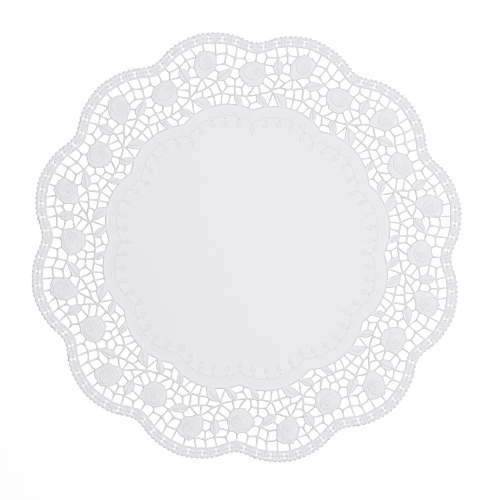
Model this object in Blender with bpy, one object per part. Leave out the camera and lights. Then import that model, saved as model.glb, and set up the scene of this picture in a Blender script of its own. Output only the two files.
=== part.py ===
"""Round die-cut paper lace doily lying flat: one sheet with twelve alike repeats.

Shallow scallops run round its outside. Inside them a net of narrow bars carries an open rose, a
rosebud and five leaves in each repeat, and joins the edge band to a plain middle with a lobed rim.
Metres, +Z up, origin at the middle of the underside, one scallop pointing along +Y.
"""

import math

import bmesh
import bpy
from mathutils import Matrix, Vector

MM = 0.001

# Driving dimensions, millimetres and degrees
SIZE = 360.0  # across two opposite scallops
THICKNESS = 1.0
REPEATS = 12
REPEAT_ANGLE = 360.0 / REPEATS
POINTS_PER_SCALLOP = 14
SCALLOP_SWING = 5.15  # how far the scallops move in and out of their mean circle
SCALLOP_ROUNDING = (1.0, -0.2, 0.07)  # shares of the first three waves of the scalloped line
BAND_WIDTH = 9.3  # solid band between the outside and the net
BAR_WIDTH = 0.95  # bars of the net
CENTRE_ARC_RADIUS = 46.7  # each lobe of the plain middle is an arc of this radius
CENTRE_ARC_OFFSET = 72.4  # distance of that arc's centre from the doily's centre
ROSE_RISE = 0.5  # embossed flower heads stand this much above the sheet
ROSE_SIDES = 8
ROSE_SINK = 0.3  # overlap of a flower head with the sheet

# Knots on the inner line of the edge band and on the rim of the plain middle:
# degrees clockwise from the notch between two scallops, and the lines give their radius.
BAND_KNOTS = (0.2, 2.6, 5.6, 8.5, 11.5, 15.05, 18.6, 21.6, 24.55, 27.45)
CENTRE_KNOTS = (0.0, 2.5, 5.4, 9.0, 13.05, 15.0, 17.15, 19.7, 25.3, 28.1)

# The other knots of one repeat: degrees clockwise from its notch, millimetres from the centre.
KNOTS = {
    # crossings of the plain net
    "n1": (3.4, 156.7),
    "n2": (6.8, 157.5),
    "n3": (9.3, 161.4),
    "n5": (21.35, 160.0),
    "n6": (20.35, 151.7),
    "n7": (23.85, 155.4),
    "n8": (26.7, 155.0),
    "n9": (22.85, 147.6),
    "n10": (23.35, 138.1),
    "n11": (20.4, 133.1),
    "n12": (23.1, 132.4),
    "n13": (25.45, 131.1),
    "n14": (27.0, 124.0),
    "n15": (28.65, 117.9),
    # outline of the open rose at the notch, clockwise from its top
    "r1": (0.15, 152.6),
    "r3": (2.6, 151.0),
    "r6": (3.5, 141.8),
    "r8": (2.6, 135.9),
    "r9": (1.5, 133.4),
    "r10": (-0.2, 132.5),
    "r11": (-1.9, 132.9),
    "r12": (-3.2, 135.2),
    "r14": (-4.8, 140.6),
    "r16": (-4.8, 146.2),
    "r18": (-2.55, 151.3),
    # outline of the rosebud in the scallop, clockwise from its upper left
    "b1": (12.65, 161.3),
    "b2": (13.8, 164.6),
    "b4": (14.95, 164.8),
    "b6": (16.4, 163.6),
    "b8": (18.05, 160.1),
    "b9": (17.95, 156.5),
    "b10": (17.6, 151.7),
    "b11": (17.2, 148.2),
    "b12": (16.0, 146.9),
    "b14": (13.7, 143.4),
    "b15": (12.6, 143.1),
    "b16": (11.5, 145.5),
    "b18": (11.0, 153.5),
    # standing leaf, clockwise from its tip
    "f1": (6.8, 156.0),
    "f3": (8.4, 151.6),
    "f5": (8.4, 146.4),
    "f6": (7.9, 143.6),
    "f7": (6.95, 144.9),
    "f8": (6.15, 147.4),
    "f10": (6.05, 153.4),
    # lying leaf, clockwise from its stalk
    "g1": (17.4, 139.6),
    "g2": (17.6, 142.4),
    "g3": (18.4, 144.9),
    "g4": (20.2, 146.2),
    "g7": (21.3, 141.5),
    "g8": (19.4, 138.7),
    # long leaf that reaches the plain middle, clockwise from its stalk
    "h1": (7.5, 127.9),
    "h2": (9.2, 128.5),
    "h4": (11.6, 126.9),
    "h6": (12.85, 121.0),
    "h7": (10.3, 119.6),
    "h9": (7.8, 125.6),
    # leaf under the open rose, clockwise from its stalk
    "j1": (1.2, 125.3),
    "j2": (3.0, 124.4),
    "j4": (5.0, 118.6),
    "j5": (3.95, 117.2),
    "j6": (1.6, 120.3),
    "j7": (1.0, 122.8),
    # small leaf, clockwise from its stalk
    "k1": (22.9, 125.4),
    "k3": (25.1, 120.5),
    "k4": (24.1, 117.8),
    "k5": (22.7, 121.2),
    # forks and bends of the stems
    "s1": (6.35, 130.5),
    "s2": (7.25, 136.7),
    "s4": (7.9, 141.3),
    "s6": (8.6, 133.6),
    "s8": (10.4, 138.0),
    "s11": (11.4, 133.6),
    "s13": (14.1, 135.4),
    "s16": (17.0, 138.6),
    "s18": (15.0, 141.5),
    "s23": (4.5, 128.0),
    "s27": (21.35, 125.8),
    "s29": (18.3, 128.5),
    "s31": (14.9, 127.7),
    "s34": (25.7, 124.5),
    "s36": (-0.6, 130.0),
}

# The openings of one repeat, each by the knots round it, clockwise. A + knot is the next repeat's
# and a - knot the one before's. The net is cut at 1.4 times its pitch: most openings take two
# neighbouring meshes, so that the whole doily has 300.
OPENINGS = (
    "e0 e1 e2 n2 n1 r3 r1",
    "e2 e3 e4 b1 n3 n2",
    "e4 e5 e6 b8 b6 b4 b2 b1",
    "e6 e7 n5 n6 b10 b9 b8",
    "e7 e8 e9 n8 n7 n5",
    "e9 e0+ r1+ r18+ n8",
    "n1 n2 f1 f10 f8 f7 r6 r3",
    "n2 n3 b1 b18 b16 f5 f3 f1",
    "f6 f5 b16 b15 s8 s6 s1 s2 s4",
    "r6 f7 f6 s4 s2 s1 r8",
    "r8 s1 s23 j1 n14- s36 r10 r9",
    "s8 b15 b14 s18 s16 s13 s11 s6",
    "b14 b12 b11 g3 g2 s16 s18",
    "b11 b10 n6 n9 g4 g3",
    "n5 n7 n8 r18+ r16+ n9 n6",
    "n9 r16+ r14+ n10 n12 n11 g8 g7",
    "s16 g1 g8 n11 s29 s31 s13",
    "s1 s6 s11 s13 s31 h4 h2 h1",
    "n10 r14+ r12+ n13 s34 k1 s27 s29 n11 n12",
    "n13 r12+ r11+ r10+ s36+ n14 s34",
    "j1 s23 s1 h1 h9 h7 c3 c2 j4 j2",
    "h4 s31 s29 c6 c5 c4 h6",
    "s29 s27 k1 k5 k4 c7 c6",
    "k1 s34 n14 n15 c9 c8 k3",
    "n14 j1+ j7+ j6+ j5+ c1+ c0+ c9 n15",
)

# The embossed flower heads of one repeat
ROSES = (
    # degrees, radius, width at the foot, width at the top
    (-0.75, 142.6, 15.0, 7.0),
    (14.6, 155.0, 14.0, 6.5),
)

PAPER_COLOUR = (0.863, 0.871, 0.896, 1.0)
PAPER_ROUGHNESS = 0.9


def place(degrees, radius):
    """The point at this many degrees clockwise from the notch left of the +Y scallop, in metres."""
    angle = math.radians(90.0 + REPEAT_ANGLE / 2 - degrees)
    return Vector((math.cos(angle), math.sin(angle), 0.0)) * radius * MM


def scalloped_radius(degrees, peak):
    """Radius of the scalloped line that reaches out to peak in the middle of each scallop."""
    turn = math.radians(REPEATS * (degrees - REPEAT_ANGLE / 2))
    wave = sum(share * (math.cos((k + 1) * turn) - 1.0) for k, share in enumerate(SCALLOP_ROUNDING))
    return peak + SCALLOP_SWING * wave


def centre_radius(degrees):
    """Radius of the lobed rim of the plain middle."""
    turn = math.radians(degrees - REPEAT_ANGLE / 2)
    across = CENTRE_ARC_OFFSET * math.sin(turn)
    return CENTRE_ARC_OFFSET * math.cos(turn) + math.sqrt(CENTRE_ARC_RADIUS**2 - across**2)


def knot_places():
    """Each knot's degrees and radius, by its name."""
    band_peak = SIZE / 2 - BAND_WIDTH + BAR_WIDTH / 2
    knots = dict(KNOTS)
    for number, degrees in enumerate(BAND_KNOTS):
        knots[f"e{number}"] = (degrees, scalloped_radius(degrees, band_peak))
    for number, degrees in enumerate(CENTRE_KNOTS):
        knots[f"c{number}"] = (degrees, centre_radius(degrees))
    return knots


def knot_point(knots, name):
    """The place of a knot, which may belong to the next repeat (+) or the one before (-)."""
    shift = {"+": REPEAT_ANGLE, "-": -REPEAT_ANGLE}.get(name[-1], 0.0)
    degrees, radius = knots[name.rstrip("+-")]
    return place(degrees + shift, radius)


def extrude_up(bm, faces, height):
    """Raises a copy of these faces by height and walls it in, so that they become solid."""
    grown = bmesh.ops.extrude_face_region(bm, geom=faces)
    raised = [item for item in grown["geom"] if isinstance(item, bmesh.types.BMVert)]
    bmesh.ops.translate(bm, verts=raised, vec=(0.0, 0.0, height))


def repeat_round(bm):
    """Copies what the mesh holds round the centre, once for each further repeat."""
    bmesh.ops.spin(
        bm,
        geom=bm.verts[:] + bm.edges[:] + bm.faces[:],
        cent=(0.0, 0.0, 0.0),
        axis=(0.0, 0.0, 1.0),
        angle=math.radians(REPEAT_ANGLE * (REPEATS - 1)),
        steps=REPEATS - 1,
        use_duplicate=True,
    )


def finish_mesh(bm, name):
    """An object made of the bmesh, its faces pointing out."""
    bmesh.ops.recalc_face_normals(bm, faces=bm.faces)
    mesh = bpy.data.meshes.new(name)
    bm.to_mesh(mesh)
    bm.free()
    made = bpy.data.objects.new(name, mesh)
    bpy.context.scene.collection.objects.link(made)
    return made


def make_sheet():
    """The uncut sheet with its scalloped outside."""
    bm = bmesh.new()
    count = REPEATS * POINTS_PER_SCALLOP
    outline = []
    for number in range(count):
        degrees = number * 360.0 / count
        outline.append(bm.verts.new(place(degrees, scalloped_radius(degrees, SIZE / 2))))
    extrude_up(bm, [bm.faces.new(outline)], THICKNESS * MM)
    return finish_mesh(bm, "doily")


def make_punches():
    """The dies that cut the openings: each is the mesh between its knots less half a bar all round."""
    knots = knot_places()
    bm = bmesh.new()
    meshes = []
    for row in OPENINGS:
        meshes.append(bm.faces.new([bm.verts.new(knot_point(knots, name)) for name in row.split()]))
    bm.normal_update()
    bars = bmesh.ops.inset_individual(
        bm, faces=meshes, thickness=BAR_WIDTH / 2 * MM, use_even_offset=True
    )
    bmesh.ops.delete(bm, geom=bars["faces"], context="FACES")
    extrude_up(bm, bm.faces[:], 3 * THICKNESS * MM)
    bmesh.ops.translate(bm, verts=bm.verts, vec=(0.0, 0.0, -THICKNESS * MM))
    repeat_round(bm)
    return finish_mesh(bm, "punches")


def make_flower_heads():
    """Low flat-topped domes for the embossed roses, reaching a little into the sheet."""
    bm = bmesh.new()
    height = ROSE_RISE + ROSE_SINK
    for degrees, radius, foot, top in ROSES:
        centre = place(degrees, radius)
        middle = Vector((centre.x, centre.y, (THICKNESS - ROSE_SINK + height / 2) * MM))
        turned = Matrix.Rotation(math.atan2(centre.y, centre.x), 4, "Z")
        bmesh.ops.create_cone(
            bm,
            cap_ends=True,
            segments=ROSE_SIDES,
            radius1=foot / 2 * MM,
            radius2=top / 2 * MM,
            depth=height * MM,
            matrix=Matrix.Translation(middle) @ turned,
        )
    repeat_round(bm)
    return finish_mesh(bm, "flower_heads")


def combine(target, helper, operation):
    """Adds the helper to the target or cuts it away, and keeps the helper out of sight."""
    boolean = target.modifiers.new(helper.name, "BOOLEAN")
    boolean.operation = operation
    boolean.object = helper
    helper.hide_render = True
    helper.display_type = "WIRE"


def paper():
    """Matt embossed paper, white with a trace of blue."""
    material = bpy.data.materials.new("embossed_paper")
    material.use_nodes = True
    shader = material.node_tree.nodes["Principled BSDF"]
    shader.inputs["Base Color"].default_value = PAPER_COLOUR
    shader.inputs["Roughness"].default_value = PAPER_ROUGHNESS
    shader.inputs["Metallic"].default_value = 0.0
    return material


def main():
    for old in list(bpy.data.objects):
        bpy.data.objects.remove(old)
    doily = make_sheet()
    doily.data.materials.append(paper())
    combine(doily, make_flower_heads(), "UNION")
    combine(doily, make_punches(), "DIFFERENCE")


main()
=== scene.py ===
"""Embossed, die-cut paper lace doily, lying flat on a pale table top and seen from straight above.

One sheet of paper in twelve alike repeats. Each repeat is charted in degrees clockwise from
the notch between two scallops and in millimetres from the centre.
"""

import math

import bmesh
import bpy
import numpy as np
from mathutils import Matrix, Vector


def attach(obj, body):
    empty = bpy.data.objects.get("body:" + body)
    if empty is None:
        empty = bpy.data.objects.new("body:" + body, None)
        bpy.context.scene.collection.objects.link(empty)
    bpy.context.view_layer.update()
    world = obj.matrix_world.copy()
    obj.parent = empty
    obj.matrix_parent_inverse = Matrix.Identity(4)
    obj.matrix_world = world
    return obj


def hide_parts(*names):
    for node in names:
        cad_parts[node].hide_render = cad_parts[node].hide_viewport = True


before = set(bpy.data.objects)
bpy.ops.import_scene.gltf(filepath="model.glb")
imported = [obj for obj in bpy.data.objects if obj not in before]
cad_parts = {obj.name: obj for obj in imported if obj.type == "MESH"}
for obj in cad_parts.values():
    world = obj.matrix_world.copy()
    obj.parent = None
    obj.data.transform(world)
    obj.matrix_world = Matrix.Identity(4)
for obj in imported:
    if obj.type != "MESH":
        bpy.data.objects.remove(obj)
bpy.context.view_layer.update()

MM = 0.001

# ---- colours, sRGB
PAPER_WHITE = "E1E1E4"
PAPER_SHADE = "DFDEE2"  # the paper's slightly denser clouds
TABLE_WHITE = "FDFDFD"
STUDIO_WHITE = "FFFFFF"

# ---- finish of the paper and the table
CLOUDS = {"Scale": 160.0, "Detail": 4.0, "Roughness": 0.6}  # the paper's clouds, about 6 mm across
TOOTH = {"Scale": 900.0, "Detail": 3.0, "Roughness": 0.7}  # the felt's tooth, bumps about 1 mm apart
TOOTH_DEPTH = 0.00006  # metres
TOOTH_STRENGTH = 0.25
PAPER_ROUGHNESS = 0.9
PAPER_GLOSS = 0.25
TABLE_ROUGHNESS = 0.8
TABLE_GLOSS = 0.2
MIX_SHARE = 0  # sockets of a node that mixes two colours
MIX_FIRST = 6
MIX_SECOND = 7
MIX_RESULT = 2

# ---- view, table and light, metres
VIEW_WIDTH = 0.4104  # width of table in view
CAMERA_HEIGHT = 1.6
CAMERA_TURN = 12.2  # the top of the view is this many degrees clockwise of the scallop on +Y
CAMERA_SHIFT = (0.0067, -0.0052)  # shares of the view's width by which it is off the doily's middle
SENSOR_WIDTH = 36.0  # millimetres
TABLE_HALF_WIDTH = 3.0
TABLE_DROP = 0.00005  # the table lies this far below the sheet, so that their faces don't coincide
ROOM_LIGHT = 0.1  # even light from all round
LAMP_PLACE = (0.3, 0.05, 1.9)
LAMP_AIM = (0.0, 0.0, 0.0)
LAMP_WIDTH = 0.5
LAMP_POWER = 37.5

# ---- the sheet; from here on, millimetres and degrees
SIZE = 360.0  # across two opposite scallops
REPEATS = 12
REPEAT_ANGLE = 360.0 / REPEATS
PAPER_THICKNESS = 0.25
FLAT = PAPER_THICKNESS  # height of the paper's plain upper side above the table
WELD_DISTANCE = 0.004  # points nearer than this are one
FIRST_INSET = 0.01  # a new ring of faces starts this narrow, before its points are placed

# ---- lines that a formula gives
SCALLOP_SWING = 5.15  # how far the scallops move in and out of their mean circle
SCALLOP_ROUNDING = (1.0, -0.2, 0.07)  # shares of the first three waves of the scalloped line
BAND_WIDTH = 8.85  # from the ridge along the band's inner side to its outer edge
RIM_ARC_RADIUS = 46.7  # each lobe of the plain middle is an arc of this radius
RIM_ARC_OFFSET = 72.4  # distance of that arc's centre from the doily's centre

# ---- bars of the net, and lines round leaves and flowers; heights are above the plain paper
BAR_RIDGE = 0.6
STEM_RIDGE = 0.6
OUTLINE_RIDGE = 0.58
JOINT_RIDGE = 0.34  # the ridges are lower where bars cross
BAR_WIDTH = 1.3
STEM_WIDENING = 1.15  # a stem is this many bars wide
CORNER_ROUNDING = 0.16  # each corner of a mesh is drawn this far towards its neighbours
LONGEST_MITRE = 2.4  # at a sharp corner a bar's edge stays within this many half widths of its ridge
SHARPEST_CURVE = 0.5  # cosine of the turn past which a leaf's or flower's outline has a corner
FLATNESS = 0.9  # cut edges of paper that lies at least this flat are square, the others rounded
CRISP_ANGLE = 20.0  # pressed folds sharper than this have a crisp crease

# ---- edge band
BEADS = 23  # pressed beads along one scallop
BEAD_RADIUS = 1.15  # each bead is a hexagon that touches the outer edge
BEAD_HEIGHT = 1.15
BEAD_FOOT = 0.5  # height of the paper along the inner side of the beads
BEAD_INSET = 0.4  # the beads stand this far inside the nominal edge
BEAD_TOP = 0.25  # a bead's flat top, as a share of its width
BEAD_SIDE = math.radians(36.0)  # angle from a bead's right and left sides to its side corners
ALONG_SHARE = 0.7  # cosine of the angle within which an edge runs along the band
BAND_COLUMNS = 2 * BEADS
BAND_KNOTS = (0.2, 2.6, 5.6, 8.5, 11.25, 15.05, 18.55, 21.6, 24.55, 27.45)
BAND_KNOT_COLUMNS = (0, 4, 9, 13, 18, 23, 29, 33, 38, 42)
BAND_SAG = 0.5  # the band's inner side bulges by this much between two bars
PINHOLES = (
    # degrees and radius of the outer hole of each pair, then of its inner hole
    (1.95, 166.6, 2.1, 163.5),
    (5.5, 170.6, 5.8, 167.5),
    (9.2, 173.9, 9.45, 170.8),
    (13.1, 175.6, 13.1, 172.5),
    (16.9, 175.6, 16.9, 172.5),
    (20.8, 173.7, 20.45, 170.7),
    (24.5, 170.6, 24.15, 167.6),
    (28.05, 166.5, 27.9, 163.5),
)
PINHOLE_COLUMNS = (3, 9, 14, 20, 26, 32, 37, 43)
PINHOLE_WIDTH = 1.35  # along the band
PINHOLE_LENGTH = 1.85  # across the band
SEED_WIDTH = 2.25  # a pressed seed stands on both sides of each pair
SEED_LENGTH = 2.8
SEED_HEIGHT = 1.25
SEED_TOP = 0.25  # a seed's flat top, as a share of its width
SEED_CELL = 3.25  # a seed and its margin reach this far to the side of the pair
STUD_RISE = 0.36  # height of the small studs on the band's body, as a share of their width
BAND_ROWS = (
    # rows that pass the pinholes, from the inner side out: the nearer hole, distance from its
    # middle, and distance from the middle of the pair, beside the seeds and halfway to the next
    ("inner", -PINHOLE_LENGTH / 2, -2.9, -2.6),
    ("inner", PINHOLE_LENGTH / 2, -2.0, -0.7),
    ("outer", -PINHOLE_LENGTH / 2, 2.0, 0.4),
    ("outer", PINHOLE_LENGTH / 2, 2.6, 2.2),
)
HOLE_ROWS = (2, 4)  # rows of the band's cells that hold the pinholes
SEED_ROW = 3
BAND_FOOT = 0.6  # the ridge of the band's inner side falls to its body within this distance
ROW_GAP = 0.25  # least distance from there to the pinholes' rows
BAND_BODY = 0.12  # height of the band's body

# ---- rim of the plain middle
RIM_KNOTS = (0.0, 4.5, 5.6, 10.5, 13.05, 15.0, 17.15, 19.7, 24.2, 25.4, 28.1)
RIM_KNOT_COLUMNS = (0, 6, 8, 14, 17, 20, 23, 26, 32, 34, 38)
RIM_COLUMNS = 40
RIM_ROWS = ((0.65, 0.0),)  # depth inside the rim and height there

# ---- ring of small arches, knobs and drops pressed inside the rim
LINE_DEPTH = 9.3  # depth inside the rim of the line that the arches stand on
LINE_DIP = 1.0  # further depth of that line at the notches
LINE_ROWS = ((-0.75, 0.0), (0.0, 0.4), (0.75, 0.0))  # distance below that line and height there
RING_COLUMNS = 20
ARCHES = (3.5, 10.3, 16.4, 22.2, 28.15)  # degrees
ARCH_HALF_WIDTH = 2.95
ARCH_FOOT = 1.15  # above the line
ARCH_TOP = 3.9
ARCH_STEPS = 4  # on each side of the arch's top
ARCH_STEP = 20.0  # degrees of turn at each
ARCH_FOOT_SHARES = (0.9, 0.45, 0.0, -0.45, -0.9)  # points of its foot, as shares of the half width
ARCH_RINGS = ((1.0, 0.0), (0.84, 0.27), (0.66, 0.0))  # share of an outline's size, height there
KNOB_CORNERS = 10
KNOB_MIDDLE = 1.85  # below the line
KNOB_HALF_WIDTH = 1.7
KNOB_HALF_HEIGHT = 1.0
KNOB_RINGS = ((1.0, 0.0), (0.25, 0.8))
KNOB_END = 3.0  # the knobs' part of the ring ends this far below the line
DROP_OUTLINE = (
    # to the right of the drop's middle and below the line
    (-2.4, 4.9),
    (-1.5, 3.6),
    (0.0, 3.35),
    (1.5, 3.6),
    (2.4, 4.9),
    (2.2, 6.7),
    (1.4, 8.9),
    (0.0, 10.9),
    (-1.4, 8.9),
    (-2.2, 6.7),
)
DROP_RINGS = ((1.0, 0.0), (0.7, 0.5), (0.4, 0.05), (0.1, 0.52))
DROP_END = 11.6  # and the drops' part here

# The other knots of one repeat: degrees clockwise from its notch, millimetres from the centre.
KNOTS = {
    # crossings of the plain net
    "n1": (3.4, 156.7),
    "n2": (6.8, 157.5),
    "n3": (9.3, 161.4),
    "n4": (9.8, 154.9),
    "n5": (21.35, 160.0),
    "n6": (20.35, 151.7),
    "n7": (23.85, 155.4),
    "n8": (26.7, 155.0),
    "n9": (22.85, 147.6),
    "n10": (23.35, 138.1),
    "n11": (20.4, 133.1),
    "n12": (23.1, 132.4),
    "n13": (25.45, 131.1),
    "n14": (27.0, 124.0),
    "n15": (28.65, 117.9),
    # outline of the open rose at the notch, clockwise from its top
    "r1": (0.15, 152.6),
    "r2": (1.4, 151.2),
    "r3": (2.6, 151.0),
    "r4": (2.85, 148.6),
    "r5": (3.15, 145.6),
    "r6": (3.5, 141.8),
    "r7": (2.9, 139.0),
    "r8": (2.6, 135.9),
    "r9": (1.5, 133.4),
    "r10": (-0.2, 132.5),
    "r11": (-2.25, 132.5),
    "r12": (-2.6, 135.1),
    "r13": (-3.2, 135.2),
    "r14": (-4.25, 137.4),
    "r15": (-4.8, 140.6),
    "r16": (-5.25, 143.4),
    "r17": (-4.8, 146.2),
    "r18": (-3.6, 149.5),
    "r19": (-2.55, 151.3),
    "r20": (-1.3, 151.5),
    # outline of the rosebud in the scallop, clockwise from its upper left
    "b1": (12.65, 161.3),
    "b2": (13.85, 165.2),
    "b3": (14.3, 163.9),
    "b4": (14.95, 164.8),
    "b5": (15.6, 163.4),
    "b6": (16.4, 163.6),
    "b7": (17.4, 161.8),
    "b8": (18.1, 159.5),
    "b9": (17.95, 156.5),
    "b10": (17.6, 151.7),
    "b11": (17.2, 148.2),
    "b12": (16.0, 146.9),
    "b13": (15.0, 145.8),
    "b14": (13.7, 143.4),
    "b15": (12.6, 143.1),
    "b16": (11.5, 145.5),
    "b17": (11.2, 149.5),
    "b18": (11.0, 153.5),
    "b19": (11.6, 158.0),
    # standing leaf, clockwise from its tip
    "f1": (6.8, 156.0),
    "f2": (7.9, 154.2),
    "f3": (8.4, 151.6),
    "f4": (8.6, 149.0),
    "f5": (8.4, 146.4),
    "f6": (7.9, 143.6),
    "f7": (6.95, 144.9),
    "f8": (6.15, 147.4),
    "f9": (5.9, 150.0),
    "f10": (6.05, 153.4),
    # lying leaf, clockwise from its stalk
    "g1": (17.4, 139.6),
    "g2": (17.6, 142.4),
    "g3": (18.4, 144.9),
    "g4": (20.2, 146.2),
    "g5": (22.2, 144.6),
    "g6": (21.3, 141.5),
    "g7": (19.4, 138.7),
    # long leaf that reaches the plain middle, clockwise from its stalk
    "h1": (7.5, 127.9),
    "h2": (9.2, 128.5),
    "h3": (10.95, 127.9),
    "h4": (11.6, 126.9),
    "h5": (12.3, 124.2),
    "h6": (12.85, 121.0),
    "h8": (8.7, 122.6),
    "h9": (7.8, 125.6),
    # leaf under the open rose, clockwise from its stalk
    "j1": (1.2, 125.3),
    "j2": (3.0, 124.4),
    "j3": (4.4, 121.6),
    "j4": (5.0, 118.6),
    "j6": (1.6, 120.3),
    "j7": (1.0, 122.8),
    # small leaf, clockwise from its stalk
    "k1": (22.9, 125.4),
    "k2": (24.25, 124.7),
    "k3": (25.1, 120.5),
    "k5": (22.7, 121.2),
    # forks and bends of the stems
    "s1": (6.35, 130.5),
    "s2": (7.25, 136.7),
    "s3": (7.7, 139.2),
    "s4": (7.9, 141.3),
    "s5": (7.3, 132.0),
    "s6": (8.6, 133.6),
    "s7": (9.6, 135.6),
    "s8": (10.4, 138.0),
    "s9": (11.4, 140.6),
    "s10": (10.0, 133.7),
    "s11": (11.4, 133.6),
    "s12": (13.2, 134.8),
    "s13": (14.1, 135.4),
    "s14": (15.0, 136.2),
    "s15": (16.2, 137.5),
    "s16": (17.0, 138.6),
    "s17": (16.1, 139.4),
    "s18": (15.0, 141.5),
    "s19": (14.1, 142.4),
    "s20": (17.3, 134.0),
    "s21": (17.7, 130.6),
    "s22": (5.7, 129.3),
    "s23": (4.5, 128.0),
    "s24": (2.4, 126.6),
    "s25": (-1.0, 124.7),
    "s27": (21.35, 125.8),
    "s28": (19.6, 127.1),
    "s29": (18.3, 128.5),
    "s30": (16.6, 127.8),
    "s31": (14.9, 127.7),
    "s32": (13.0, 127.1),
    "s33": (6.9, 128.4),
    "s34": (25.7, 124.5),
    "s35": (19.2, 160.5),
    "s36": (-0.6, 130.0),
    "s37": (-1.4, 127.2),
}

# The meshes of one repeat, each by the knots round it, clockwise. e is the band's inner side and c
# the rim of the middle. A + knot is the next repeat's and a - knot the one before's.
MESHES = (
    "e0 e1 n1 r3 r2 r1",
    "e1 e2 n2 n1",
    "e2 e3 n3 n2",
    "e3 e4 b1 n3",
    "e4 e5 b4 b3 b2 b1",
    "e5 e6 b8 b7 b6 b5 b4",
    "e6 e7 n5 s35 b8",
    "e7 e8 n7 n5",
    "e8 e9 n8 n7",
    "e9 e0+ r1+ r20+ r19+ n8",
    "n1 n2 f1 f10 f9 r3",
    "n2 n3 n4 f3 f2 f1",
    "n3 b1 b19 b18 n4",
    "n4 b18 b17 b16 f5 f4 f3",
    "r3 f9 f8 f7 r6 r5 r4",
    "r6 f7 f6 s4 s3 s2",
    "f6 f5 b16 b15 s9 s8 s4",
    "r6 s2 s1 r8 r7",
    "r8 s1 s22 s23 s24 r9",
    "s4 s8 s7 s6 s5 s1 s2 s3",
    "s8 s9 b15 s12 s11 s10 s6 s7",
    "b15 b14 s19 s18 s17 s16 s15 s14 s13 s12",
    "b14 b13 b12 b11 g3 g2 g1 s16 s17 s18 s19",
    "b11 b10 n6 n9 g4 g3",
    "b8 s35 n5 n6 b10 b9",
    "n5 n7 n9 n6",
    "n7 n8 r19+ r18+ r17+ n9",
    "n9 r17+ r16+ r15+ n10 g6 g5",
    "n10 n12 n11 g7 g6",
    "s16 g1 g7 n11 s29 s21 s20",
    "s16 s20 s21 s29 s30 s31 s13 s14 s15",
    "s11 s12 s13 s31 s32 h4 h3",
    "s1 s5 s6 s10 s11 h3 h2 h1 s33",
    "n10 r15+ r14+ r13+ n13 n12",
    "n11 n12 k1 s27 s28 s29",
    "n12 n13 s34 k2 k1",
    "n13 r13+ r12+ r11+ r10+ s36+ s37+ n14 s34",
    "r10 r9 s24 j1 s25 n14- s37 s36",
    "s24 s23 s22 s1 s33 c2 j4 j3 j2 j1",
    "s33 h1 h9 h8 c3 c2",
    "h4 s32 s31 c5 c4 h6 h5",
    "s31 s30 s29 c6 c5",
    "s29 s28 s27 c7 c6",
    "s27 k1 k5 c8 c7",
    "k2 s34 n14 n15 c10 c9 k3",
    "n14 s25+ j1+ j7+ j6+ n15",
    "n15- j6 c1 c0 c10-",
)

# Each leaf: the knots round it, clockwise, then the two ends of its midrib
LEAVES = (
    ("f1 f2 f3 f4 f5 f6 f7 f8 f9 f10", (6.9, 154.6), (7.75, 145.4)),
    ("g1 g2 g3 g4 n9 g5 g6 g7", (17.9, 140.2), (21.8, 146.2)),
    ("h1 h2 h3 h4 h5 h6 c4 c3 h8 h9", (8.6, 127.0), (11.3, 121.3)),
    ("j1 j2 j3 j4 c2 c1 j6 j7", (1.9, 124.0), (4.1, 118.9)),
    ("k1 k2 k3 c9 c8 k5", (23.2, 124.0), (24.4, 119.2)),
)
LEAF_RINGS = (
    # share of the way out from the midrib, height of the leaf there
    (0.55, 0.02),
    (0.06, 0.9),
)
VEIN_RISE = 0.2  # side veins stand up by this much

# Each flower: the knots round it, its middle, the oval inside its outer petals (middle to the
# right and outwards of the flower's, half width, half height, tilt), its heart (right, outwards),
# its nested petals (size as a share of the oval, angle at which the petal's edge slips under the
# next), the creases between its outer petals, and the angles between which these are fringed.
# Angles are in degrees, anticlockwise from the flower's right.
FLOWERS = (
    (
        "r1 r2 r3 r4 r5 r6 r7 r8 r9 r10 r11 r12 r13 r14 r15 r16 r17 r18 r19 r20",
        (-0.75, 142.8),
        (0.3, 0.5, 7.7, 6.4, 6.0),
        (1.2, 0.6),
        ((1.0, 125.0), (0.66, 160.0), (0.36, 190.0)),
        (38.0, 112.0, 152.0, 208.0, 318.0),
        (205.0, 335.0),
    ),
    (
        "b1 b2 b3 b4 b5 b6 b7 b8 b9 b10 b11 b12 b13 b14 b15 b16 b17 b18 b19",
        (14.6, 154.5),
        (0.3, 0.7, 5.9, 7.0, -18.0),
        (0.6, 0.4),
        ((1.0, 110.0), (0.66, 160.0), (0.36, 40.0)),
        (28.0, 80.0, 128.0, 190.0),
        (195.0, 300.0),
    ),
)
OUTLINE_FOLD = 0.92  # the outline's ridge falls to a fold at this share of the flower's size
OUTLINE_FOOT = 0.05  # height of that fold
OUTER_CREST = 0.75  # height of the outer petals
PETAL_CREST = 0.85  # height that the nested petals start from
PETAL_RISE = 0.07  # each petal stands higher than the one outside it by this much
PETAL_GROOVES = (0.64, 0.5, 0.45)  # drop from each petal's crest to the groove round it
PETAL_EDGES = (0.84, 0.8, 0.76)  # each crest lies at this share of the groove's oval
HEART_DEPTH = 0.5  # the heart's middle is pressed in by this much
PETAL_TWIST = 0.1  # a petal's edge draws in by this share on its way round
OVERLAP_WIDTH = 60.0  # degrees over which a petal's edge fades where it slips under the next
CREASE_DEPTH = 0.55  # a crease takes this share of the outer petals' height
CREASE_WIDTH = 9.0
FRINGE_DEPTH = 0.4  # the fringe rises and falls by this much
PETAL_CRIMP = 0.16  # the petals are finely crimped by this much


# ---------------------------------------------------------------- chart


def place(degrees, radius, height=0.0):
    """The point, in metres, at a place of the chart and this many millimetres above plain paper."""
    angle = math.radians(90.0 + REPEAT_ANGLE / 2 - degrees)
    return Vector((math.cos(angle) * radius, math.sin(angle) * radius, FLAT + height)) * MM


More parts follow.
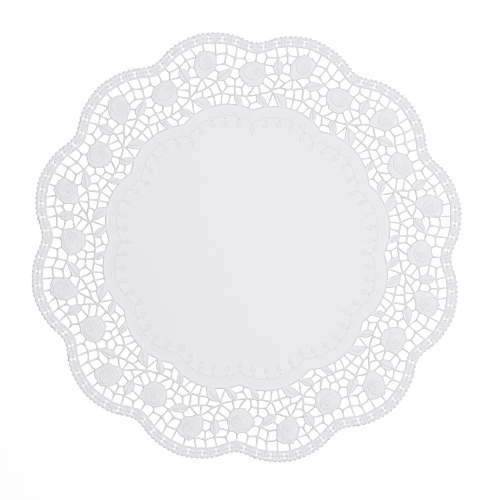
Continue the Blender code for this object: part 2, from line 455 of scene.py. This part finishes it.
def scalloped_radius(degrees):
    """Radius of the outer edge."""
    turn = math.radians(REPEATS * (degrees - REPEAT_ANGLE / 2))
    wave = sum(share * (math.cos((k + 1) * turn) - 1.0) for k, share in enumerate(SCALLOP_ROUNDING))
    return SIZE / 2 + SCALLOP_SWING * wave


def directions(point):
    """Two level directions at a point: to the right as seen from the centre, and outwards."""
    out = Vector((point.x, point.y, 0.0)).normalized()
    return Vector((out.y, -out.x, 0.0)), out


def rim_radius(degrees):
    """Radius of the lobed rim of the plain middle."""
    turn = math.radians(degrees % REPEAT_ANGLE - REPEAT_ANGLE / 2)
    across = RIM_ARC_OFFSET * math.sin(turn)
    return RIM_ARC_OFFSET * math.cos(turn) + math.sqrt(RIM_ARC_RADIUS**2 - across**2)


def along_repeat(column, columns, anchors, gain):
    """Value at a column from (column, value) anchors; each repeat of columns adds gain."""
    turn, column = divmod(column, columns)
    first, last = anchors[0], anchors[-1]
    ring = [(last[0] - columns, last[1] - gain), *anchors, (first[0] + columns, first[1] + gain)]
    at, value = zip(*ring)
    return float(np.interp(column, at, value)) + turn * gain


def band_degrees(column):
    """Degrees of a column of the band's inner side."""
    anchors = list(zip(BAND_KNOT_COLUMNS, BAND_KNOTS))
    return along_repeat(column, BAND_COLUMNS, anchors, REPEAT_ANGLE)


def rim_degrees(column):
    """Degrees of a column of the rim."""
    anchors = list(zip(RIM_KNOT_COLUMNS, RIM_KNOTS))
    return along_repeat(column, RIM_COLUMNS, anchors, REPEAT_ANGLE)


def band_sag(column):
    """How far the band's inner side bulges inwards, none at the knots."""
    knots = len(BAND_KNOTS)
    numbers = list(zip(BAND_KNOT_COLUMNS, range(knots)))
    share = along_repeat(column, BAND_COLUMNS, numbers, knots) % 1.0
    return BAND_SAG * math.sin(math.pi * share)


def line_ridge(column, columns, knot_columns):
    """Height of a long ridge, lower where a bar joins it."""
    return JOINT_RIDGE if column % columns in knot_columns else OUTLINE_RIDGE


def band_inner(column):
    """A point of the ridge along the band's inner side."""
    degrees = band_degrees(column)
    height = line_ridge(column, BAND_COLUMNS, BAND_KNOT_COLUMNS)
    return place(degrees, scalloped_radius(degrees) - BAND_WIDTH - band_sag(column), height)


def rim_point(column):
    """A point of the rim's ridge."""
    degrees = rim_degrees(column)
    height = line_ridge(column, RIM_COLUMNS, RIM_KNOT_COLUMNS)
    return place(degrees, rim_radius(degrees), height)


def line_column(name):
    """Grid column of a knot on the band's inner side (e) or on the rim (c)."""
    shift = {"+": 1, "-": -1}.get(name[-1], 0)
    number = int(name[1:].rstrip("+-"))
    if name[0] == "e":
        return BAND_KNOT_COLUMNS[number] + shift * BAND_COLUMNS
    return RIM_KNOT_COLUMNS[number] + shift * RIM_COLUMNS


def knot(name):
    """The point of a knot, at the height of the ridge that passes it."""
    if name[0] == "e":
        return band_inner(line_column(name))
    if name[0] == "c":
        return rim_point(line_column(name))
    shift = {"+": REPEAT_ANGLE, "-": -REPEAT_ANGLE}.get(name[-1], 0.0)
    degrees, radius = KNOTS[name.rstrip("+-")]
    ridge = JOINT_RIDGE if name[0] in "ns" else OUTLINE_RIDGE
    return place(degrees + shift, radius, ridge)


def curve_neighbours():
    """For each two neighbouring knots of a leaf or flower, the knots before and after them."""
    neighbours = {}
    for row, *_ in LEAVES + FLOWERS:
        names = row.split()
        for number, name in enumerate(names):
            before, after = names[number - 1], names[(number + 1) % len(names)]
            beyond = names[(number + 2) % len(names)]
            neighbours[name, after] = (before, beyond)
            neighbours[after, name] = (beyond, before)
    return neighbours


CURVE_NEIGHBOURS = curve_neighbours()


def curve_end(before, here, there):
    """The knot before a stretch of a curve, or a stand-in where the outline turns a corner."""
    turn = (here - before).normalized().dot((there - here).normalized())
    return before if turn > SHARPEST_CURVE else 2 * here - there


def between(first, second):
    """The point halfway between two knots: on a curve round leaves and flowers, else straight."""
    start, stop = knot(first), knot(second)
    turn = first[-1] if first[-1] in "+-" else ""
    pair = (first.rstrip("+-"), second.rstrip("+-"))
    if pair not in CURVE_NEIGHBOURS:
        middle = (start + stop) / 2
        middle.z = (FLAT + (STEM_RIDGE if first[0] == second[0] == "s" else BAR_RIDGE)) * MM
        return middle
    # four-point rule: each new point keeps the bend of the two knots on either side of it
    before, beyond = (knot(name + turn) for name in CURVE_NEIGHBOURS[pair])
    before = curve_end(before, start, stop)
    beyond = curve_end(beyond, stop, start)
    return (start + stop) * 9 / 16 - (before + beyond) / 16


def walk(names):
    """Points round a closed row of knots and between them, and how wide the bar is at each."""
    points = []
    widths = []
    for first, second in zip(names, names[1:] + names[:1]):
        if first[0] == second[0] and first[0] in "ec":
            start, stop = line_column(first), line_column(second)
            point = band_inner if first[0] == "e" else rim_point
            columns = range(start, stop, 1 if stop > start else -1)
            points += [point(column) for column in columns]
            widths += [1.0] * len(columns)
        else:
            points += [knot(first), between(first, second)]
            widths.append(STEM_WIDENING if first[0] == "s" else 1.0)
            widths.append(STEM_WIDENING if first[0] == second[0] == "s" else 1.0)
    return points, widths


# ---------------------------------------------------------------- mesh helpers


def face_from(bm, points):
    """A face with new corners at these points."""
    return bm.faces.new([bm.verts.new(point) for point in points])


def add_grid(bm, columns, rows, point):
    """A grid of faces with each corner at point(column, row). Returns its corners."""
    grid = bmesh.ops.create_grid(bm, x_segments=columns, y_segments=rows, size=0.5)
    corners = {}
    for vert in grid["verts"]:
        column = round((vert.co.x + 0.5) * columns)
        row = round((vert.co.y + 0.5) * rows)
        vert.co = point(column, row)
        corners[column, row] = vert
    return corners


def step_inwards(bm, face, points):
    """Rings a face with new faces and moves its own corners to these points."""
    bmesh.ops.inset_individual(bm, faces=[face], thickness=FIRST_INSET * MM)
    around = set(face.edges)
    for loop, point in zip(face.loops, points):
        loop.vert.co = point
        soften(bm, set(loop.vert.link_edges) - around)


def soften(bm, edges):
    """Marks edges that never have a crisp crease."""
    soft = bm.edges.layers.int["soft"]
    for edge in edges:
        edge[soft] = 1


def round_corners(face, share):
    """Draws each corner of a face towards its neighbours."""
    corners = [loop.vert for loop in face.loops]
    places = [corner.co.copy() for corner in corners]
    for number, corner in enumerate(corners):
        middle = (places[number - 1] + places[(number + 1) % len(places)]) / 2
        corner.co = places[number].lerp(middle, share)


def inner_edge(ridge, widths):
    """Points half a bar's width inside a closed, clockwise row of ridge points."""
    edge = []
    for number, (point, width) in enumerate(zip(ridge, widths)):
        along = (point - ridge[number - 1]).normalized()
        onwards = (ridge[(number + 1) % len(ridge)] - point).normalized()
        first = Vector((along.y, -along.x, 0.0))
        second = Vector((onwards.y, -onwards.x, 0.0))
        inwards = (first + second).normalized()
        mitre = 1.0 / max(inwards.dot(first), 1.0 / LONGEST_MITRE)
        spot = point + inwards * mitre * width * BAR_WIDTH / 2 * MM
        spot.z = FLAT * MM
        edge.append(spot)
    return edge


def finish_mesh(bm, name):
    """An object made of the bmesh."""
    mesh = bpy.data.meshes.new(name)
    bm.to_mesh(mesh)
    bm.free()
    made = bpy.data.objects.new(name, mesh)
    bpy.context.scene.collection.objects.link(made)
    return made


def make_meshes(bm):
    """The openings of the net: half a bar of paper round each, sloping from its ridge to its edge."""
    for row in MESHES:
        ridge, widths = walk(row.split())
        face = face_from(bm, ridge)
        bm.normal_update()
        step_inwards(bm, face, inner_edge(ridge, widths))
        round_corners(face, CORNER_ROUNDING)
        bmesh.ops.delete(bm, geom=[face], context="FACES")


def make_leaf(bm, row, tip, stalk):
    """A leaf that swells on both sides of a pressed midrib, with faint side veins."""
    points, _ = walk(row.split())
    face = face_from(bm, points)
    bm.normal_update()
    start, end = place(*tip), place(*stalk)
    rib = end - start
    feet = []
    for point in points:
        share = max(0.0, min(1.0, (point - start).dot(rib) / rib.length_squared))
        feet.append(start + rib * share)
    for out, height in LEAF_RINGS:
        ring = []
        for number, (point, foot) in enumerate(zip(points, feet)):
            vein = VEIN_RISE * (number % 2) * math.sin(math.pi * out)
            spot = foot.lerp(point, out)
            spot.z = (FLAT + height + vein) * MM
            ring.append(spot)
        step_inwards(bm, face, ring)
    bmesh.ops.triangulate(bm, faces=[face])


def petal_point(oval, heart, angle, share):
    """Right and outward distance of a point on an oval that shrinks with the share to the heart."""
    right, out, half_width, half_height, tilt = oval
    turn = math.radians(angle - tilt)
    x = half_width * share * math.cos(turn)
    y = half_height * share * math.sin(turn)
    lean = math.radians(tilt)
    return (
        heart[0] + (right - heart[0]) * share + x * math.cos(lean) - y * math.sin(lean),
        heart[1] + (out - heart[1]) * share + x * math.sin(lean) + y * math.cos(lean),
    )


def closeness(angle, others, width):
    """1 at the nearest of some angles, falling to 0 away from them."""
    apart = min(abs((angle - other + 180.0) % 360.0 - 180.0) for other in others)
    return math.exp(-((apart / width) ** 2))


def outer_petals(edge, angles, oval, heart, creases, fringe):
    """Two rings, right, out and up: the fold inside a flower's outline and its outer petals."""
    fold = []
    swell = []
    for number, ((across, up), angle) in enumerate(zip(edge, angles)):
        odd = number % 2
        frill = FRINGE_DEPTH * odd if fringe[0] < angle < fringe[1] else 0.0
        start = (across * OUTLINE_FOLD, up * OUTLINE_FOLD)
        fold.append((*start, OUTLINE_FOOT + frill))
        inner = petal_point(oval, heart, angle, 1.0)
        crease = 1.0 - CREASE_DEPTH * closeness(angle, creases, CREASE_WIDTH)
        height = OUTER_CREST * crease - PETAL_CRIMP * odd
        swell.append(((start[0] + inner[0]) / 2, (start[1] + inner[1]) / 2, height))
    return [fold, swell]


def nested_petal(layer, share, slip, angles, oval, heart):
    """Two rings, right, out and up: the groove round a nested petal and the petal's edge."""
    crest = PETAL_CREST + PETAL_RISE * (layer + 1)
    groove = []
    lip = []
    for number, angle in enumerate(angles):
        crimp = PETAL_CRIMP * (number % 2)
        wound = (angle - slip) % 360.0 / 360.0
        size = share * (1.0 + PETAL_TWIST * (0.5 - wound))
        depth = PETAL_GROOVES[layer] * (1.0 - closeness(angle, (slip,), OVERLAP_WIDTH))
        groove.append((*petal_point(oval, heart, angle, size), crest - depth - crimp))
        edge_size = size * PETAL_EDGES[layer]
        lip.append((*petal_point(oval, heart, angle, edge_size), crest + crimp))
    return [groove, lip]


def make_flower(bm, row, middle, oval, heart, petals, creases, fringe):
    """A rose: creased and fringed outer petals round nested ones, and a pressed-in heart."""
    points, _ = walk(row.split())
    face = face_from(bm, points)
    bm.normal_update()
    centre = place(*middle, -FLAT)
    right, out = directions(centre)
    edge = [((p - centre).dot(right) / MM, (p - centre).dot(out) / MM) for p in points]
    angles = [math.degrees(math.atan2(up, across)) % 360.0 for across, up in edge]
    rings = outer_petals(edge, angles, oval, heart, creases, fringe)
    for layer, (share, slip) in enumerate(petals):
        rings += nested_petal(layer, share, slip, angles, oval, heart)
    for ring in rings:
        spots = []
        for across, up, height in ring:
            away = right * across + out * up + Vector((0.0, 0.0, FLAT + height))
            spots.append(centre + away * MM)
        step_inwards(bm, face, spots)
    poked = bmesh.ops.poke(bm, faces=[face])
    poked["verts"][0].co.z -= HEART_DEPTH * MM


# ---------------------------------------------------------------- edge band


def next_pair_column(number):
    """Grid column of the pair of pinholes after this one."""
    return (*PINHOLE_COLUMNS, PINHOLE_COLUMNS[0] + BAND_COLUMNS)[number + 1]


def band_row_anchors(row):
    """For a row that passes the pinholes, its (column, degrees) and (column, reach) anchors."""
    which, from_hole, from_pair, halfway = BAND_ROWS[row]
    along = []
    reaches = []
    for number, (at, pair) in enumerate(zip(PINHOLE_COLUMNS, PINHOLES)):
        outer, outer_radius, inner, inner_radius = pair
        degrees, radius = (outer, outer_radius) if which == "outer" else (inner, inner_radius)
        side = math.degrees(PINHOLE_WIDTH / 2 / radius)
        cell_side = math.degrees(SEED_CELL / radius)
        along += [(at - 1, degrees - cell_side), (at, degrees - side)]
        along += [(at + 1, degrees + side), (at + 2, degrees + cell_side)]
        edge = scalloped_radius(degrees)
        near = radius + from_hole - edge
        middle = (outer_radius + inner_radius) / 2 - edge
        centre = (at + 1 + next_pair_column(number)) / 2
        reaches += [(at - 1, middle + from_pair), (at, near), (at + 1, near)]
        reaches += [(at + 2, middle + from_pair), (centre, middle + halfway)]
    return along, reaches


def band_row_point(column, row):
    """A point of the band's grid on a row that passes the pinholes."""
    along, reaches = band_row_anchors(row)
    degrees = along_repeat(column, BAND_COLUMNS, along, REPEAT_ANGLE)
    reach = along_repeat(column, BAND_COLUMNS, reaches, 0.0)
    reach = min(reach, -2.0 * BEAD_RADIUS - BEAD_INSET - ROW_GAP)
    reach = max(reach, BAND_FOOT + ROW_GAP - BAND_WIDTH)
    return place(degrees, scalloped_radius(degrees) + reach, BAND_BODY)


def bead_point(turns, angle, share, height):
    """A point of a bead, at an angle anticlockwise from its right and a share of its radius."""
    degrees = turns * REPEAT_ANGLE / BEADS
    middle = place(degrees, scalloped_radius(degrees) - BEAD_RADIUS - BEAD_INSET, height)
    right, out = directions(middle)
    return middle + (right * math.cos(angle) + out * math.sin(angle)) * share * BEAD_RADIUS * MM


def bead_side_point(column, side):
    """Beads stand between each even column and the next: their side corners lie on columns."""
    angle = side * BEAD_SIDE if column % 2 else math.pi - side * BEAD_SIDE
    return bead_point(column // 2, angle, 1.0, bead_foot(angle))


def bead_foot(angle):
    """Height of a bead's foot: the paper slopes from its inner side to the outer edge."""
    return BEAD_FOOT if math.sin(angle) < 0.0 else 0.0


def band_point(column, row):
    """A point of the band's grid, whose first row is the ridge of its inner side."""
    rows = len(BAND_ROWS)
    if row == 0:
        return band_inner(column)
    if row == 1:
        degrees = band_degrees(column)
        inside = BAND_WIDTH + band_sag(column) - BAND_FOOT
        return place(degrees, scalloped_radius(degrees) - inside, BAND_BODY)
    if row <= rows + 1:
        return band_row_point(column, row - 2)
    return bead_side_point(column, -1 if row == rows + 2 else 1)


def make_band(bm):
    """The scalloped edge band of one repeat: pairs of pinholes between seeds, and a row of beads."""
    rows = len(BAND_ROWS) + 3
    corners = add_grid(bm, BAND_COLUMNS, rows, band_point)

    def cell(column, row):
        """The face between a corner of the grid and the next column and row."""
        ends = {corners[column, row], corners[column + 1, row + 1]}
        return next(face for face in corners[column, row].link_faces if ends <= set(face.verts))

    holes = [cell(column, row) for column in PINHOLE_COLUMNS for row in HOLE_ROWS]
    seeds = [cell(column + side, SEED_ROW) for column in PINHOLE_COLUMNS for side in (-1, 1)]
    beads = [cell(column, rows - 1) for column in range(0, BAND_COLUMNS, 2)]
    near_holes = {at + side for at in PINHOLE_COLUMNS for side in (-1, 0, 1)}
    between_pairs = [column for column in range(BAND_COLUMNS) if column not in near_holes]
    beside_holes = [column for column in range(BAND_COLUMNS) if column not in PINHOLE_COLUMNS]
    studs = [cell(column, 1) for column in beside_holes]
    studs += [cell(column, row) for column in between_pairs for row in range(2, rows - 2)]
    studs += [cell(column, rows - 2) for column in range(1, BAND_COLUMNS, 2)]
    for face in holes:
        cut_pinhole(bm, face)
    for face in seeds:
        raise_seed(bm, face)
    for number, face in enumerate(beads):
        raise_bead(bm, face, number)
    for face in studs:
        raise_stud(bm, face)


def raise_stud(bm, face):
    """Makes a low pyramid of a face."""
    rise = STUD_RISE * math.sqrt(face.calc_area())
    tip = bmesh.ops.poke(bm, faces=[face])["verts"][0]
    tip.co.z += rise


def raise_bead(bm, face, number):
    """Makes a face of the outer row six-sided and raises a bead on it."""
    middle = bead_point(number, 0.0, 0.0, 0.0)
    right, out = directions(middle)
    lengthwise = [edge for edge in face.edges if is_along(edge, right)]
    for edge in lengthwise:
        bmesh.ops.subdivide_edges(bm, edges=[edge], cuts=1)
    top = []
    for loop in face.loops:
        away = loop.vert.co - middle
        angle = math.atan2(away.dot(out), away.dot(right))
        loop.vert.co = bead_point(number, angle, 1.0, bead_foot(angle))
        top.append(bead_point(number, angle, BEAD_TOP, BEAD_HEIGHT))
    step_inwards(bm, face, top)


def is_along(edge, direction):
    """Whether an edge runs along a direction, one way or the other."""
    course = (edge.verts[1].co - edge.verts[0].co).normalized()
    return abs(course.dot(direction)) > ALONG_SHARE


def on_oval(face, middle, width, length, height):
    """For each corner of a face, the point of an oval in the same direction from its middle."""
    right, out = directions(middle)
    ring = []
    for loop in face.loops:
        away = loop.vert.co - middle
        angle = math.atan2(away.dot(out) / length, away.dot(right) / width)
        side = right * math.cos(angle) * width + out * math.sin(angle) * length
        spot = middle + side / 2 * MM
        spot.z = (FLAT + height) * MM
        ring.append(spot)
    return ring


def raise_seed(bm, face):
    """Raises an oval seed in the middle of a face."""
    middle = face.calc_center_median()
    bmesh.ops.subdivide_edges(bm, edges=face.edges[:], cuts=1)
    for share, height in ((1.0, BAND_BODY), (SEED_TOP, SEED_HEIGHT)):
        ring = on_oval(face, middle, SEED_WIDTH * share, SEED_LENGTH * share, height)
        step_inwards(bm, face, ring)


def cut_pinhole(bm, face):
    """Opens an eight-sided oval pinhole in place of a face."""
    middle = face.calc_center_median()
    bmesh.ops.subdivide_edges(bm, edges=face.edges[:], cuts=1)
    rim = on_oval(face, middle, PINHOLE_WIDTH, PINHOLE_LENGTH, 0.0)
    for loop, point in zip(face.loops, rim):
        loop.vert.co = point
    bmesh.ops.delete(bm, geom=[face], context="FACES")


# ---------------------------------------------------------------- plain middle


def line_radius(degrees):
    """Radius of the line that the arches stand on."""
    away = degrees % REPEAT_ANGLE / (REPEAT_ANGLE / 2) - 1.0
    return rim_radius(degrees) - LINE_DEPTH - LINE_DIP * away**2


def ring_spot(degrees, across, below):
    """A point this far to the right of a direction and below the line, on the plain paper."""
    degrees += math.degrees(across / (line_radius(degrees) - below))
    return place(degrees, line_radius(degrees) - below)


def ring_row(first, last, below):
    """Points below the line, from one of the ring's columns to another."""
    step = REPEAT_ANGLE / RING_COLUMNS
    return [ring_spot(column * step, 0.0, below) for column in range(first, last + 1)]


def arch_outline(degrees):
    """Points over the top of an arch, left to right, then back along its foot."""
    outline = []
    for number in range(-ARCH_STEPS, ARCH_STEPS + 1):
        turn = math.radians(ARCH_STEP * number)
        up = ARCH_FOOT + (ARCH_TOP - ARCH_FOOT) * math.cos(turn)
        outline.append(ring_spot(degrees, ARCH_HALF_WIDTH * math.sin(turn), -up))
    for share in ARCH_FOOT_SHARES:
        outline.append(ring_spot(degrees, ARCH_HALF_WIDTH * share, -ARCH_FOOT))
    return outline


def knob_outline(degrees):
    """Points of an oval, clockwise from its left."""
    outline = []
    for number in range(KNOB_CORNERS):
        turn = math.radians(180.0 - (number + 0.5) * 360.0 / KNOB_CORNERS)
        across = KNOB_HALF_WIDTH * math.cos(turn)
        outline.append(ring_spot(degrees, across, KNOB_MIDDLE - KNOB_HALF_HEIGHT * math.sin(turn)))
    return outline


def press_shape(bm, points, outline, rings):
    """A face of these points, with rings that shrink from an outline to its middle."""
    face = face_from(bm, points)
    bm.normal_update()
    middle = sum(outline, Vector()) / len(outline)
    for share, height in rings:
        rise = Vector((0.0, 0.0, height * MM))
        step_inwards(bm, face, [middle.lerp(point, share) + rise for point in outline])


def rim_row_point(column, row):
    """A point of the rim's grid, whose first row is its ridge."""
    if row == 0:
        return rim_point(column)
    depth, height = RIM_ROWS[row - 1]
    degrees = rim_degrees(column)
    return place(degrees, rim_radius(degrees) - depth, height)


def line_row_point(column, row):
    """A point of the line's grid."""
    below, height = LINE_ROWS[row]
    degrees = column * REPEAT_ANGLE / RING_COLUMNS
    return place(degrees, line_radius(degrees) - below, height)


def make_middle(bm):
    """One repeat of the plain middle: its raised rim, arches on a line, and drops under it."""
    add_grid(bm, RIM_COLUMNS, len(RIM_ROWS), rim_row_point)
    add_grid(bm, RING_COLUMNS, len(LINE_ROWS) - 1, line_row_point)
    cells = len(ARCHES)
    rim_step = RIM_COLUMNS // cells
    step = RING_COLUMNS // cells
    for number, degrees in enumerate(ARCHES):
        columns = range(number * rim_step, (number + 1) * rim_step + 1)
        over = [rim_row_point(column, len(RIM_ROWS)) for column in columns]
        under = ring_row(number * step, (number + 1) * step, LINE_ROWS[0][0])
        press_shape(bm, over + under[::-1], arch_outline(degrees), ARCH_RINGS)
    for number in range(cells):
        degrees = number * REPEAT_ANGLE / cells
        first = number * step - step // 2
        line, between_two, end = (
            ring_row(first, first + step, below) for below in (LINE_ROWS[-1][0], KNOB_END, DROP_END)
        )
        press_shape(bm, line + between_two[::-1], knob_outline(degrees), KNOB_RINGS)
        drop = [ring_spot(degrees, across, below) for across, below in DROP_OUTLINE]
        press_shape(bm, between_two + end[::-1], drop, DROP_RINGS)
    hub = place(0.0, 0.0)
    face_from(bm, [hub] + ring_row(-step // 2, RING_COLUMNS - step // 2, DROP_END))


# ---------------------------------------------------------------- the whole doily


def repeat_round(bm):
    """Copies what the mesh holds round the centre, once for each further repeat."""
    bmesh.ops.spin(
        bm,
        geom=bm.verts[:] + bm.edges[:] + bm.faces[:],
        cent=(0.0, 0.0, 0.0),
        axis=(0.0, 0.0, 1.0),
        angle=math.radians(REPEAT_ANGLE * (REPEATS - 1)),
        steps=REPEATS - 1,
        use_duplicate=True,
    )


def join_repeats(bm):
    """Welds the repeats into one sheet that faces up."""
    bmesh.ops.remove_doubles(bm, verts=bm.verts, dist=WELD_DISTANCE * MM)
    loose = [vert for vert in bm.verts if not vert.link_faces]
    bmesh.ops.delete(bm, geom=loose, context="VERTS")
    bmesh.ops.recalc_face_normals(bm, faces=bm.faces)
    if sum(face.normal.z for face in bm.faces) < 0.0:
        bmesh.ops.reverse_faces(bm, faces=bm.faces)


def crease_paper(bm):
    """Smooth paper with crisp creases along its sharper folds and square edges where it is cut."""
    soft = bm.edges.layers.int["soft"]
    for face in bm.faces:
        face.smooth = True
    for edge in bm.edges:
        cut_square = edge.link_faces[0].normal.z > FLATNESS
        fold = edge.calc_face_angle(math.pi if cut_square else 0.0)
        edge.smooth = bool(edge[soft]) or fold < math.radians(CRISP_ANGLE)


def make_doily():
    """The whole doily: one repeat, copied round, welded and given the paper's thickness."""
    bm = bmesh.new()
    bm.edges.layers.int.new("soft")
    make_meshes(bm)
    for leaf in LEAVES:
        make_leaf(bm, *leaf)
    for flower in FLOWERS:
        make_flower(bm, *flower)
    make_band(bm)
    make_middle(bm)
    repeat_round(bm)
    join_repeats(bm)
    crease_paper(bm)
    doily = finish_mesh(bm, "paper_doily")
    doily.data.materials.append(embossed_paper())
    wall = doily.modifiers.new("paper_thickness", "SOLIDIFY")
    wall.thickness = PAPER_THICKNESS * MM
    wall.offset = -1.0
    return doily


# ---------------------------------------------------------------- materials


def from_hex(text):
    """Linear colour from an sRGB hex value."""
    channels = [int(text[i : i + 2], 16) / 255.0 for i in (0, 2, 4)]
    linear = [c / 12.92 if c <= 0.04045 else ((c + 0.055) / 1.055) ** 2.4 for c in channels]
    return (*linear, 1.0)


def add_node(tree, kind, settings=None, links=None):
    """Adds a node. settings are inputs by name or number, or the node's own properties."""
    node = tree.nodes.new(kind)
    for name, value in (settings or {}).items():
        if isinstance(name, str) and hasattr(node, name):
            setattr(node, name, value)
        else:
            node.inputs[name].default_value = value
    for name, socket in (links or {}).items():
        tree.links.new(socket, node.inputs[name])
    return node


def new_material(name, roughness, gloss):
    """A material, its node tree and its surface shader."""
    material = bpy.data.materials.new(name)
    material.use_nodes = True
    tree = material.node_tree
    shader = tree.nodes["Principled BSDF"]
    shader.inputs["Roughness"].default_value = roughness
    shader.inputs["Specular IOR Level"].default_value = gloss
    return material, tree, shader


def embossed_paper():
    """Uncoated white paper pressed between steel dies: dead matt, faintly cloudy, fine felt tooth."""
    material, tree, shader = new_material("embossed_paper", PAPER_ROUGHNESS, PAPER_GLOSS)
    where = add_node(tree, "ShaderNodeTexCoord")
    cloud = add_node(tree, "ShaderNodeTexNoise", CLOUDS, {"Vector": where.outputs["Object"]})
    colour = add_node(
        tree,
        "ShaderNodeMix",
        {"data_type": "RGBA", MIX_FIRST: from_hex(PAPER_SHADE), MIX_SECOND: from_hex(PAPER_WHITE)},
        {MIX_SHARE: cloud.outputs["Fac"]},
    )
    tooth = add_node(tree, "ShaderNodeTexNoise", TOOTH, {"Vector": where.outputs["Object"]})
    grain = add_node(
        tree,
        "ShaderNodeBump",
        {"Strength": TOOTH_STRENGTH, "Distance": TOOTH_DEPTH},
        {"Height": tooth.outputs["Fac"]},
    )
    tree.links.new(colour.outputs[MIX_RESULT], shader.inputs["Base Color"])
    tree.links.new(grain.outputs["Normal"], shader.inputs["Normal"])
    return material


def white_laminate():
    """Matt white table laminate: even, plain white and nearly without a gleam."""
    material, _, shader = new_material("white_laminate", TABLE_ROUGHNESS, TABLE_GLOSS)
    shader.inputs["Base Color"].default_value = from_hex(TABLE_WHITE)
    return material


# ---------------------------------------------------------------- stage


def make_camera():
    """A camera that looks straight down."""
    data = bpy.data.cameras.new("camera")
    data.sensor_width = SENSOR_WIDTH
    data.lens = SENSOR_WIDTH * CAMERA_HEIGHT / VIEW_WIDTH
    data.shift_x, data.shift_y = CAMERA_SHIFT
    camera = bpy.data.objects.new("camera", data)
    camera.location = (0.0, 0.0, CAMERA_HEIGHT)
    camera.rotation_euler = (0.0, 0.0, math.radians(-CAMERA_TURN))
    bpy.context.scene.collection.objects.link(camera)
    bpy.context.scene.camera = camera


def make_table():
    """A plain table top that reaches past the view."""
    bm = bmesh.new()
    bmesh.ops.create_grid(bm, x_segments=1, y_segments=1, size=TABLE_HALF_WIDTH)
    bmesh.ops.translate(bm, verts=bm.verts, vec=(0.0, 0.0, -TABLE_DROP))
    table = finish_mesh(bm, "table_top")
    table.data.materials.append(white_laminate())
    return table


def add_lamp():
    """A round lamp high above the table, a little to one side, so that the relief is shaded."""
    data = bpy.data.lights.new("overhead", "AREA")
    data.shape = "DISK"
    data.size = LAMP_WIDTH
    data.energy = LAMP_POWER
    lamp = bpy.data.objects.new("overhead", data)
    lamp.location = LAMP_PLACE
    aim = Vector(LAMP_AIM) - Vector(LAMP_PLACE)
    lamp.rotation_euler = aim.to_track_quat("-Z", "Y").to_euler()
    bpy.context.scene.collection.objects.link(lamp)


def light_scene():
    """A white studio: faint light from all round and one lamp."""
    scene = bpy.context.scene
    scene.view_settings.view_transform = "Standard"
    world = bpy.data.worlds.new("studio")
    world.use_nodes = True
    background = world.node_tree.nodes["Background"]
    background.inputs["Color"].default_value = from_hex(STUDIO_WHITE)
    background.inputs["Strength"].default_value = ROOM_LIGHT
    scene.world = world
    add_lamp()


# ---------------------------------------------------------------- the scene

make_camera()
table = make_table()
doily = make_doily()
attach(doily, "root")
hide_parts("doily")
light_scene()
